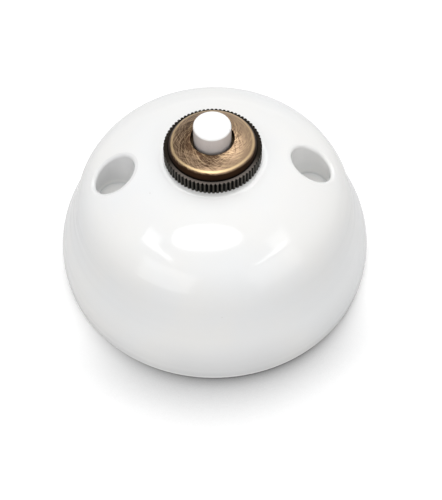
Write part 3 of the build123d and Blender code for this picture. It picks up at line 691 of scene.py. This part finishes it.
def makeSpring():
    low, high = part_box("return_spring")
    bottom, top = low[2] + wire["thick"], high[2] - wire["thick"]
    closed = wire["endTurns"] * wire["endPitch"] * wire["thick"]
    winds = ((wire["endTurns"], closed), (wire["turns"], top - bottom - 2 * closed), (wire["endTurns"], closed))
    bm = bmesh.new()
    start = Matrix.Translation((wire["radius"], 0, bottom)) @ Matrix.Rotation(math.pi / 2, 4, "X")
    bmesh.ops.create_circle(bm, cap_ends=True, segments=wire["sides"], radius=wire["thick"], matrix=start)
    end = bm.faces[:]
    for turns, rise in winds:
        steps = turns * wire["steps"]
        made = bmesh.ops.spin(bm, geom=end, cent=(0, 0, 0), axis=(0, 0, 1), dvec=(0, 0, rise / steps),
                              angle=turns * 2 * math.pi, steps=steps, use_duplicate=False)
        end = [part for part in made["geom_last"] if isinstance(part, bmesh.types.BMFace)]

    # a spin leaves the face it starts from inside the wire
    inside = [face for face in bm.faces if all(len(edge.link_faces) > 2 for edge in face.edges)]
    bmesh.ops.delete(bm, geom=inside, context="FACES_ONLY")
    bmesh.ops.recalc_face_normals(bm, faces=bm.faces[:])
    for face in bm.faces:
        face.smooth = len(face.verts) == 4
    mesh = bpy.data.meshes.new("wound_spring")
    bm.to_mesh(mesh)
    bm.free()
    mesh.materials.append(metalMaterial("spring_wire", wire))
    spring = bpy.data.objects.new("wound_spring", mesh)
    scene.collection.objects.link(spring)
    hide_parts("return_spring")
    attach(spring, "housing")
    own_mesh(spring)
    print("spring wound,", len(mesh.polygons), "faces")


makeSpring()


# housing: black phenolic, moulded glossy, with a wood-flour mottle and the line where its two halves meet

phenolic = {
    "black": rgba(0.016, 0.014, 0.013), "brown": rgba(0.050, 0.036, 0.027), "mottle": (260.0, 5.0, 0.62, 1.4),
    "mottleRange": (0.42, 0.72), "mottleBump": (0.000015, 0.35),
    "flour": rgba(0.13, 0.105, 0.08), "flourScale": 1500.0, "flourRare": (0.90, 0.92), "flourEdge": (0.10, 0.28),
    "flourShare": 0.5, "roughness": 0.20, "handled": (90.0, 3.0), "handledRange": (0.35, 0.75), "roughSpread": 0.22,
    "ior": 1.6, "parting": 0.0139, "partingWide": (0.0, 0.00012), "partingBump": (0.00003, 0.6),
    "wave": (60.0, 2.0), "waveBump": (0.00008, 0.3),
}


def phenolicMaterial():
    mat, tree, shader = newMaterial("black_phenolic")
    where = place(tree)
    x, y, z = parts(tree, where)
    mottle = noise(tree, where, *phenolic["mottle"])
    colour = blendColour(tree, band(tree, mottle, *phenolic["mottleRange"]), phenolic["black"], phenolic["brown"])
    flour = spots(tree, where, phenolic["flourScale"], phenolic["flourRare"], phenolic["flourEdge"])
    colour = blendColour(tree, times(tree, flour, phenolic["flourShare"]), colour, phenolic["flour"])
    plug(tree, shader, "Base Color", colour)
    handled = band(tree, noise(tree, where, *phenolic["handled"]), *phenolic["handledRange"])
    rough = add(tree, phenolic["roughness"], times(tree, handled, phenolic["roughSpread"]))
    plug(tree, shader, "Roughness", rough)
    plug(tree, shader, "IOR", phenolic["ior"])
    seam = fall(tree, unsigned(tree, minus(tree, z, phenolic["parting"])), *phenolic["partingWide"])
    relief = bump(tree, seam, *phenolic["partingBump"])
    relief = bump(tree, mottle, *phenolic["mottleBump"], relief)
    plug(tree, shader, "Normal", bump(tree, noise(tree, where, *phenolic["wave"]), *phenolic["waveBump"], relief))
    return mat


dress(["housing_base", "housing_cover"], phenolicMaterial())
print("housing moulded")


# plunger and rotor: natural nylon, a little cloudy, rubbed shiny where they run on each other

nylon = {
    "milk": rgba(0.78, 0.755, 0.67), "amber": rgba(0.66, 0.60, 0.46), "cloud": (260.0, 4.0, 0.6, 0.8),
    "cloudRange": (0.35, 0.70), "cloudBump": (0.00002, 0.3),
    "rub": rgba(0.52, 0.50, 0.46), "contact": 0.0222, "reach": (0.0, 0.0020), "streak": (1.0, 3.0, 0.6),
    "streakStretch": (3000.0, 3.0, 1800.0), "streakRange": (0.45, 0.65), "streakBump": (0.000008, 0.5),
    "rubShare": 0.6, "roughness": 0.34, "roughCloud": 0.18, "smoothRub": 0.14,
    "subsurface": 0.25, "radius": (0.0016, 0.0013, 0.0009),
}


def nylonMaterial():
    mat, tree, shader = newMaterial("natural_nylon")
    where = place(tree)
    around = axisPlace(tree, where)
    cloud = noise(tree, where, *nylon["cloud"])
    colour = blendColour(tree, band(tree, cloud, *nylon["cloudRange"]), nylon["milk"], nylon["amber"])
    near = fall(tree, unsigned(tree, minus(tree, around[2], nylon["contact"])), *nylon["reach"])
    streaks = noise(tree, stretched(tree, around, nylon["streakStretch"]), *nylon["streak"])
    rubbed = times(tree, near, band(tree, streaks, *nylon["streakRange"]))
    plug(tree, shader, "Base Color", blendColour(tree, times(tree, rubbed, nylon["rubShare"]), colour, nylon["rub"]))
    rough = add(tree, nylon["roughness"], times(tree, cloud, nylon["roughCloud"]))
    plug(tree, shader, "Roughness", minus(tree, rough, times(tree, rubbed, nylon["smoothRub"])))
    plug(tree, shader, "Subsurface Weight", nylon["subsurface"])
    plug(tree, shader, "Subsurface Radius", nylon["radius"])
    plug(tree, shader, "Subsurface Scale", 1.0)
    relief = bump(tree, cloud, *nylon["cloudBump"])
    plug(tree, shader, "Normal", bump(tree, streaks, *nylon["streakBump"], relief))
    return mat


dress(["plunger", "ratchet_rotor"], nylonMaterial())
print("nylon coloured")


# fibre washer: red vulcanised fibre, its layers showing on the edge and short paper fibres on the faces

fibre = {
    "red": rgba(0.33, 0.090, 0.055), "dark": rgba(0.17, 0.042, 0.028), "pulp": (900.0, 5.0, 0.65),
    "pulpRange": (0.35, 0.68), "pulpBump": (0.00002, 0.5),
    "level": (0.3, 0.6), "layer": 0.00016, "wander": (300.0, 2.0), "wanderReach": 0.00010, "layerShare": 0.55,
    "layerBump": (0.00003, 0.6),
    "hair": rgba(0.52, 0.24, 0.17), "hairs": ((17.0, 3600.0, 500.0, 0.60), (98.0, 3300.0, 450.0, 0.61)),
    "hairShare": 0.4, "hairBump": (0.00001, 0.6), "roughness": 0.55, "roughPulp": 0.25,
}


def fibreMaterial():
    mat, tree, shader = newMaterial("vulcanised_fibre")
    where = place(tree)
    x, y, z = parts(tree, where)
    onEdge = fall(tree, unsigned(tree, parts(tree, facing(tree))[2]), *fibre["level"])
    pulp = noise(tree, where, *fibre["pulp"])
    wander = add(tree, z, times(tree, noise(tree, where, *fibre["wander"]), fibre["wanderReach"]))
    layers = times(tree, onEdge, maths(tree, "PINGPONG", times(tree, wander, 1.0 / fibre["layer"]), 1.0))
    colour = blendColour(tree, band(tree, pulp, *fibre["pulpRange"]), fibre["red"], fibre["dark"])
    colour = blendColour(tree, times(tree, layers, fibre["layerShare"]), colour, fibre["dark"])
    hairs = larger(tree, *[scratches(tree, where, *settings) for settings in fibre["hairs"]])
    plug(tree, shader, "Base Color", blendColour(tree, times(tree, hairs, fibre["hairShare"]), colour, fibre["hair"]))
    plug(tree, shader, "Roughness", add(tree, fibre["roughness"], times(tree, pulp, fibre["roughPulp"])))
    relief = bump(tree, layers, *fibre["layerBump"])
    relief = bump(tree, hairs, *fibre["hairBump"], relief)
    plug(tree, shader, "Normal", bump(tree, pulp, *fibre["pulpBump"], relief))
    return mat


dress(["fibre_washer"], fibreMaterial())
print("fibre washer coloured")

scene.view_settings.view_transform = "Standard"
